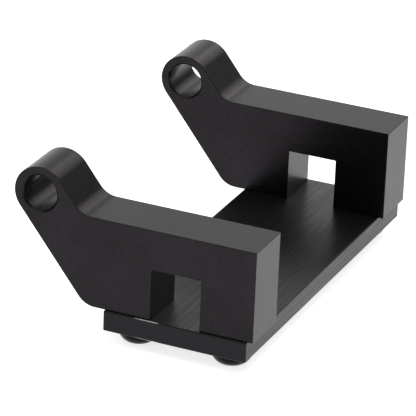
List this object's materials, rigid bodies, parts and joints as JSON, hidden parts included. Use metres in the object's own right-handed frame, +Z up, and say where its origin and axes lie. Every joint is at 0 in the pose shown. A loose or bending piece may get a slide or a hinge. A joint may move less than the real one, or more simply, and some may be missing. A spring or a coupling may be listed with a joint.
{
  "type": "camera tilt cradle",
  "caption": "Rigid tilt cradle for a small camera: a flat seat plate between notched bar arms whose raised necks end in bored pivot eyes.",
  "frame": {"origin": "under the middle of the cradle's box, level with the flat crowns of the screw heads that it stands on", "axes": "+X across the arms, from the left arm to the right arm; +Y from the arms' square ends to the eyes; +Z up, out of the seat"},
  "size_m": [0.0892, 0.0575, 0.0382],
  "materials": {
    "plate": "brushed along X, black anodised",
    "arm": "fine satin, black anodised",
    "screw": "black oxide"
  },
  "bodies": {
    "root": {"base_plate": "plate", "left_arm": "arm", "right_arm": "arm", "screw_left_front": "screw", "screw_left_rear": "screw", "screw_right_front": "screw", "screw_right_rear": "screw"}
  },
  "joints": []
}
